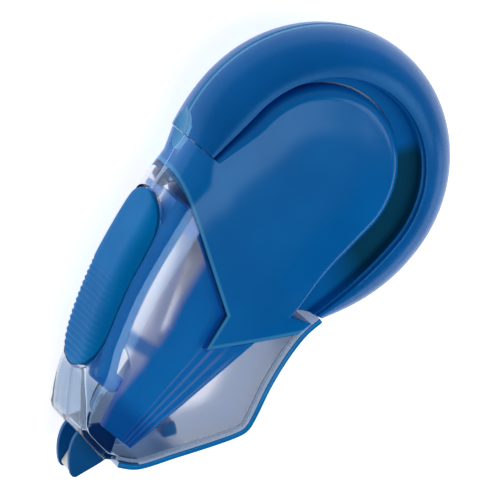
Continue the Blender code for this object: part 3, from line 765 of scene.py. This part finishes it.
def grip_rings(grow, top, bottom, steps, across, relief=None):
    """Sections of the rounded pad along the spine, between two levels above it and grown on all sides."""
    rings = []
    for k in range(steps + 1):
        t = -1 + 2 * k / steps
        u = math.copysign(1 - (1 - abs(t)) ** 1.6, t)
        share = max(0.06, (1 - abs(u) ** 5.0) ** 0.5) + grow / 8.0
        x = (PAD_FRONT + PAD_REAR) / 2 + u * ((PAD_REAR - PAD_FRONT) / 2 + grow)
        profile = relief(x) if relief else None
        upper = pad_section(x, share, top, across, profile)
        lower = pad_section(x, share, bottom, across)
        rings.append(upper + list(reversed(lower)))
    return rings


RIDGE_PITCH, RIDGE_FROM, RIDGE_TO = 0.95, 15.4, 31.0


def grip_relief(x):
    """Rounded rim, and fine ridges across the front half of the grip."""
    wave = 0.5 + 0.5 * math.cos(2 * math.pi * (x - RIDGE_FROM) / RIDGE_PITCH)
    fade = smoothstep(RIDGE_FROM - 0.2, RIDGE_FROM + 0.8, x) * (1 - smoothstep(RIDGE_TO - 1.5, RIDGE_TO, x))

    def height(across):
        rim = -0.45 * abs(across) ** 8
        ridges = -0.26 * fade * (1 - wave) * (1 - abs(across) ** 6)
        return rim + ridges
    return height


grip = add_object("grip", from_rings(grip_rings(0.0, PAD_PROUD, PAD_PROUD - PAD_THICK, 220, 26, grip_relief)),
                  [RUBBER], 50.0)


# Pegs of the rail: x and the two ends of each in y, and their level.
PEGS = ((16.4, 8.6, 2.4), (44.6, 15.5, 10.0))
PEG_Z = 11.5


def rail_piece():
    """Blue rail under the grip, with a rounded peg at either end."""
    peg_radius, peg_round = 1.6 * MM, 0.9 * MM
    upper, lower = [], []
    for k in range(41):
        x = PAD_FRONT - 0.4 + (PAD_REAR - PAD_FRONT + 1.6) * k / 40
        px, py, nx, ny = spine_frame(x)
        upper.append((px - nx * 2.45, py - ny * 2.45))
        depth = 5.7 + 0.6 * k / 40
        lower.append((px - nx * depth, py - ny * depth))
    obj = add_object("rail", prism(lower + list(reversed(upper)), 2.6, THICKNESS - 2.6), [BLUE_RAIL])
    pegs = []
    for x, top, foot in PEGS:
        peg = bmesh.new()
        length = (top - foot) * MM
        bmesh.ops.create_cone(peg, cap_ends=True, segments=48, radius1=peg_radius, radius2=peg_radius,
                              depth=length)
        rims = [e for e in peg.edges if abs(abs(e.verts[0].co.z) - length / 2) < 1e-7
                and abs(e.verts[0].co.z - e.verts[1].co.z) < 1e-7]
        bmesh.ops.bevel(peg, geom=rims, offset=peg_round, segments=5, affect="EDGES", profile=0.5)
        turn = Matrix.Rotation(math.radians(90), 4, "X")
        spot = Matrix.Translation(place(x, (top + foot) / 2, PEG_Z))
        bmesh.ops.transform(peg, matrix=spot @ turn, verts=peg.verts)
        pegs.append(peg)
    cut(obj, pegs, "UNION")
    bevel(obj, 0.25, 3, 50)
    return obj


rail = rail_piece()


# ---------------------------------------------------------------- cuts in the clear shell

def tip_window():
    """Opening in the shell's front that the tip comes out through."""
    loop = [(2.0, -4.4), (9.6, -4.4), (9.6, 3.5), (2.0, 3.5)]
    return prism(loop, 6.3, 13.5)


for shell in (shell_front, shell_rear):
    grip_seat = from_rings(grip_rings(1.5 * GAP, 2.5, -4.0, 120, 26))
    cut(shell, [notch_ball(), grip_seat, tip_window()], angle=40.0)
    highlight_notch(shell)


# ---------------------------------------------------------------- band, cover plate, tip

def edge_band():
    """Blue band along the chin, pale with a painted glow on the side that faces the clear shell."""
    outer = spline(CHIN, 10)
    inner = offset(outer, BAND, closed=False)
    bm = prism(outer + list(reversed(inner)), 0.7, THICKNESS - 0.7)
    obj = add_object("chin_band", bm, [BLUE_BAND, BAND_INSIDE_GLOW])
    bevel(obj, 0.3, 3, 60)
    # The side facing the shell takes the pale material with a painted glow.
    for polygon in obj.data.polygons:
        if polygon.normal.y > 0.7 and abs(polygon.normal.z) < 0.5:
            polygon.material_index = INSIDE
    return obj


chin_band = edge_band()

# Levels of the refill's cover plate and wedge, then the plate's pointed end, the wedge's rows from the
# plate to the tip (left and right end of each) and the left edge of the wedge's blue.
PLATE_Z = (14.3, 15.4)
WEDGE_Z = (13.4, 14.5)
CHEVRON = [(40.5, -10.8), (35.0, -8.3), (30.3, -3.3), (36.9, -1.9), (43.9, 11.0)]
WEDGE = [(47.0, 14.0, 46.0, -10.6), (42.0, 13.3, 40.5, -10.9), (36.7, 12.4, 36.0, -10.3),
         (31.7, 11.2, 31.0, -9.4), (26.6, 9.6, 26.0, -8.5), (22.6, 7.9, 21.0, -7.6), (20.6, 4.2, 19.0, -7.2),
         (16.0, 3.1, 15.0, -6.4), (11.6, 2.1, 11.4, -5.7), (9.7, 1.4, 9.9, -5.4)]
BLUE_SIDE = [(8.0, 1.0), (11.4, 2.1), (14.5, 3.0), (21.4, 3.0), (26.3, 3.4), (29.8, 3.8), (34.0, 5.2),
             (38.9, 6.2), (42.2, 6.6), (46.9, 11.0)]

# The wedge's ribs start at this y and end at its right edge.
RIBS_FROM, RIB_WAVES, RIB_HEIGHT = -2.8, 3.6, 0.13


def cover_plate():
    """Blue plate of the refill: it fills the raised face and ends in a chevron on the neck."""
    inset = WALL + GAP
    head = arc(FACE_X, FACE_Y, FACE_R - inset, -90, 90, 70)
    lower = [(x, face_lower(x) + inset) for x in (43.5, 48.0, 53.0, 59.0)]
    upper = [(59.0, face_upper(59.0) - inset), (53.0, 16.6), (49.6, 15.2), (47.0, 12.0)]
    loop = lower + head + upper + CHEVRON[::-1]
    obj = add_object("cover_plate", prism(loop, *PLATE_Z), [BLUE_FACE])
    bevel(obj, 0.25, 3, 20)
    return obj


plate = cover_plate()


def along_line(points, x):
    """Height of a line of points at x."""
    for (x0, y0), (x1, y1) in zip(points, points[1:]):
        if x <= x1 or x1 == points[-1][0]:
            return y0 + (y1 - y0) * (x - x0) / (x1 - x0)
    return points[-1][1]


def window_share(x, y):
    """1 in the frosted windows beside the wedge, 0 on its blue, with a soft edge between."""
    left = along_line(BLUE_SIDE, x)
    soft = smoothstep(left - 0.9, left + 1.1, y)
    bridge = 1.0 - smoothstep(0.7, 1.9, abs(x - 24.2 + 0.15 * (y - 6.0)))
    return soft * (1.0 - 0.85 * bridge)


def neck_wedge():
    """Blue wedge from the plate to the tip, with a frosted window on its left and fine ribs on its right
    whose crests are painted pale as highlights.
    """
    across, steps = 70, 9
    rows = [tuple(a + (b - a) * k / steps for a, b in zip(start, end))
            for start, end in zip(WEDGE, WEDGE[1:]) for k in range(steps)] + [WEDGE[-1]]
    rings, shares = [], []
    for lx, ly, rx, ry in rows:
        upper, crest_glints = [], []
        for k in range(across + 1):
            x, y = lx + (rx - lx) * k / across, ly + (ry - ly) * k / across
            span = (RIBS_FROM - y) / (RIBS_FROM - ry)
            fade = smoothstep(0.0, 0.1, span) * (1 - smoothstep(0.93, 1.0, span))
            fade *= 1 - smoothstep(30.0, 37.0, x)
            wave = math.sin(2 * math.pi * RIB_WAVES * span) * fade
            upper.append((x, y, WEDGE_Z[1] + RIB_HEIGHT * wave))
            # Painted highlight: the ribs' crests turn partly pale and clear.
            crest_glints.append(0.3 * max(0.0, wave) ** 4)
        rings.append(upper + [(x, y, WEDGE_Z[0]) for x, y, z in reversed(upper)])
        shares += [max(window_share(x, y), crest)
                   for (x, y, z), crest in zip(rings[-1], crest_glints + crest_glints[::-1])]
    obj = add_object("neck_wedge", from_rings(rings), [WINDOW], 50.0)
    clear = obj.data.attributes.new("clear", "FLOAT", "POINT")
    clear.data.foreach_set("value", shares)
    return obj


wedge = neck_wedge()

# Outline of the tip's two guide flanges, and the edge that the tape runs over.
FLANGE = [(9.9, -2.6), (9.9, 1.0), (7.6, 2.7), (6.2, 3.1), (4.6, 2.8), (2.75, 1.85), (1.1, 0.4),
          (0.25, -0.7), (0.0, -1.4), (0.35, -2.0), (1.1, -2.3), (5.2, -3.9), (7.0, -3.9)]
TIP_EDGE = (0.95, -1.2)


def tip_piece():
    """Blade between two guide flanges."""
    inner = TAPE_WIDTH / 2 + 0.15
    thick = 1.0
    flange = spline(FLANGE + [FLANGE[0]], 6)
    blade = [(9.9, -1.4), (9.9, 0.05), TIP_EDGE, (TIP_EDGE[0], TIP_EDGE[1] - 0.25)]
    obj = add_object("tip", prism(blade, TAPE_MID - inner - 0.4, TAPE_MID + inner + 0.4), [BLUE_TIP])
    flanges = [prism(flange, low, low + thick) for low in (TAPE_MID - inner - thick, TAPE_MID + inner)]
    cut(obj, flanges, "UNION")
    bevel(obj, 0.18, 3, 50)
    return obj


tip = tip_piece()


# ---------------------------------------------------------------- who moves with what

PIECES = (
    (ring_rear, "housing", "ring_blue", "ring_half_rear"),
    (ring_front, "cover", "ring_blue", "ring_half_front"),
    (shell_rear, "housing", "clear_shell", "case_rear"),
    (shell_front, "cover", "clear_shell", "case_front"),
    (grip, "housing", "grip_rubber", "grip_pad"),
    (rail, "housing", "band_blue", "grip_rail"),
    (chin_band, "housing", "band_blue", "edge_band"),
    (plate, "cartridge", "cartridge_blue", "cartridge_cover"),
    (tip, "cartridge", "tip_blue", "applicator_tip"),
)
for piece, body, slot, node in PIECES:
    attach(piece, body)
    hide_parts(node)
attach(wedge, "cartridge")

KEPT = {
    "snap_lug": BLUE_BAND, "cartridge_base": REFILL_BASE, "feed_guide_pin": WHITE, "return_guide_pin": WHITE,
    "tape_run": TAPE, "supply_spool": WHITE, "supply_gear": WHITE, "clutch_ring": FELT, "tape_roll": TAPE,
    "takeup_spool": WHITE, "takeup_gear": WHITE, "takeup_coil": TAPE,
}
for node, finish in KEPT.items():
    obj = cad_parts[node]
    for item in obj.material_slots:
        item.material = finish


# ---------------------------------------------------------------- stage, lights and camera

def stage_floor():
    bm = bmesh.new()
    bmesh.ops.create_grid(bm, x_segments=4, y_segments=4, size=0.9)
    mat, tree, shader = new_material("floor_paper")
    tree.links.new(ramp(tree, noise(tree, 3.0), [(0.3, (0.90, 0.90, 0.90)), (0.7, (0.92, 0.92, 0.92))]),
                   shader.inputs["Base Color"])
    shader.inputs["Roughness"].default_value = 0.9
    shader.inputs["Specular IOR Level"].default_value = 0.1
    shader.inputs["Emission Color"].default_value = (1.0, 1.0, 1.0, 1.0)
    shader.inputs["Emission Strength"].default_value = 0.78
    obj = add_object("floor", bm, [mat])
    obj.location.z = -0.0001


def area_light(name, direction, distance, size, power):
    """Softbox that looks at the part from a direction."""
    data = bpy.data.lights.new(name, "AREA")
    data.shape = "RECTANGLE"
    data.size, data.size_y = size
    data.energy = power
    obj = bpy.data.objects.new(name, data)
    bpy.context.scene.collection.objects.link(obj)
    way = Vector(direction).normalized()
    obj.location = way * distance
    obj.rotation_euler = way.to_track_quat("Z", "Y").to_euler()


def studio():
    world = bpy.data.worlds.new("studio")
    bpy.context.scene.world = world
    world.use_nodes = True
    tree = world.node_tree
    where = tree.nodes.new("ShaderNodeTexCoord")
    dot = tree.nodes.new("ShaderNodeVectorMath")
    dot.operation = "DOT_PRODUCT"
    dot.inputs[1].default_value = Vector((0.0, -0.485, 0.875))
    tree.links.new(where.outputs["Generated"], dot.inputs[0])
    glow = ramp(tree, dot.outputs["Value"], [(0.0, (0.9, 0.92, 0.95)), (0.45, (0.7, 0.72, 0.75)),
                                             (0.80, (0.25, 0.26, 0.28)), (1.0, (0.08, 0.08, 0.09))])
    back = tree.nodes["Background"]
    tree.links.new(glow, back.inputs["Color"])
    back.inputs["Strength"].default_value = 0.42
    area_light("softbox_overhead", (-0.1, -0.20, 1.0), 0.7, (0.5, 0.2), 0.9)
    area_light("softbox_head", (0.60, -0.62, 1.0), 0.7, (0.3, 0.3), 0.8)
    area_light("softbox_low", (0.1, -1.0, 0.25), 0.8, (0.8, 0.25), 1.2)
    view = bpy.context.scene.view_settings
    view.view_transform = "Standard"
    view.look = "None"


def camera():
    """Looks at the front side face from the spine side, with the head to the upper right."""
    tilt = math.radians(29.0)
    back = Vector((0.0, math.sin(tilt), math.cos(tilt)))
    across = Vector((0.0, math.cos(tilt), -math.sin(tilt)))
    along = Vector((1.0, 0.0, 0.0))
    roll = math.radians(49.6)
    right = math.cos(roll) * along - math.sin(roll) * across
    up = math.sin(roll) * along + math.cos(roll) * across
    distance, view_width = 0.9, 0.08388
    data = bpy.data.cameras.new("camera")
    data.sensor_width = 36.0
    data.lens = data.sensor_width * distance / view_width
    obj = bpy.data.objects.new("camera", data)
    bpy.context.scene.collection.objects.link(obj)
    aim = Vector((0.00304, -0.00173, MID * MM))
    turn = Matrix((right, up, back)).transposed().to_4x4()
    obj.matrix_world = Matrix.Translation(aim + back * distance) @ turn
    bpy.context.scene.camera = obj


stage_floor()
studio()
camera()
